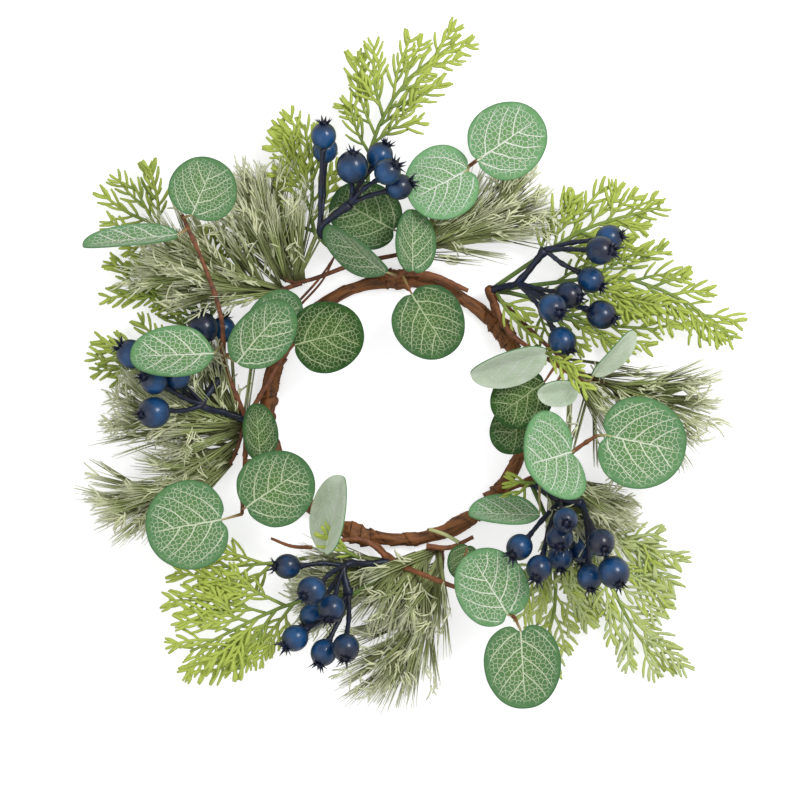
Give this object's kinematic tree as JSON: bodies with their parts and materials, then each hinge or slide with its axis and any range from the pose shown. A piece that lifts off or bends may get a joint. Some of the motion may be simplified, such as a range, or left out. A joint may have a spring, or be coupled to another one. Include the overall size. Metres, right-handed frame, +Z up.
{
  "type": "candle ring",
  "caption": "Tape-wrapped wire ring for a pillar candle, with like picks of berries, eucalyptus leaves, pine and cedar bound around it.",
  "frame": {"origin": "middle of the candle opening, on the plane that the ring rests on", "axes": "+Z up out of the table, +Y towards the top of the picture, +X to its right"},
  "size_m": [0.2666, 0.2712, 0.0547],
  "materials": {
    "ring_wire": "plain steel hoop wire, covered by the tape",
    "paper_tape": "brown crinkled florist's paper tape",
    "stem_wire": "wire stem wrapped in brown paper",
    "berry_stalk": "dark navy coated wire",
    "berry": "glossy navy coat",
    "berry_crown": "dark dried tip",
    "eucalyptus_twig": "rust brown moulded twig",
    "eucalyptus_leaf": "printed cloth leaf, green with pale veins",
    "pine": "olive needles with pale tips",
    "cedar": "yellow green moulded fronds"
  },
  "bodies": {
    "root": {"ring_wire": "ring_wire", "ring_tape": "paper_tape", "pick_stem_top": "stem_wire", "binding_top": "paper_tape", "berry_stalks_top": "berry_stalk", "berries_top": "berry", "berry_crowns_top": "berry_crown", "eucalyptus_twig_top": "eucalyptus_twig", "eucalyptus_leaves_top": "eucalyptus_leaf", "pine_spray_top_1": "pine", "pine_spray_top_2": "pine", "pine_spray_top_3": "pine", "cedar_sprig_top_1": "cedar", "cedar_sprig_top_2": "cedar", "pick_stem_right": "stem_wire", "binding_right": "paper_tape", "berry_stalks_right": "berry_stalk", "berries_right": "berry", "berry_crowns_right": "berry_crown", "eucalyptus_twig_right": "eucalyptus_twig", "eucalyptus_leaves_right": "eucalyptus_leaf", "pine_spray_right_1": "pine", "cedar_sprig_right_1": "cedar", "cedar_sprig_right_2": "cedar", "cedar_sprig_right_3": "cedar", "pick_stem_lower_right": "stem_wire", "binding_lower_right": "paper_tape", "berry_stalks_lower_right": "berry_stalk", "berries_lower_right": "berry", "berry_crowns_lower_right": "berry_crown", "eucalyptus_twig_lower_right": "eucalyptus_twig", "eucalyptus_leaves_lower_right": "eucalyptus_leaf", "pine_spray_lower_right_1": "pine", "cedar_sprig_lower_right_1": "cedar", "cedar_sprig_lower_right_2": "cedar", "pick_stem_bottom": "stem_wire", "binding_bottom": "paper_tape", "berry_stalks_bottom": "berry_stalk", "berries_bottom": "berry", "berry_crowns_bottom": "berry_crown", "eucalyptus_twig_bottom": "eucalyptus_twig", "eucalyptus_leaves_bottom": "eucalyptus_leaf", "pine_spray_bottom_1": "pine", "pine_spray_bottom_2": "pine", "cedar_sprig_bottom_1": "cedar", "cedar_sprig_bottom_2": "cedar", "pick_stem_left": "stem_wire", "binding_left": "paper_tape", "berry_stalks_left": "berry_stalk", "berries_left": "berry", "berry_crowns_left": "berry_crown", "eucalyptus_twig_left": "eucalyptus_twig", "eucalyptus_leaves_left": "eucalyptus_leaf", "pine_spray_left_1": "pine", "pine_spray_left_2": "pine", "cedar_sprig_left_1": "cedar", "cedar_sprig_left_2": "cedar", "cedar_sprig_left_3": "cedar"}
  },
  "joints": []
}
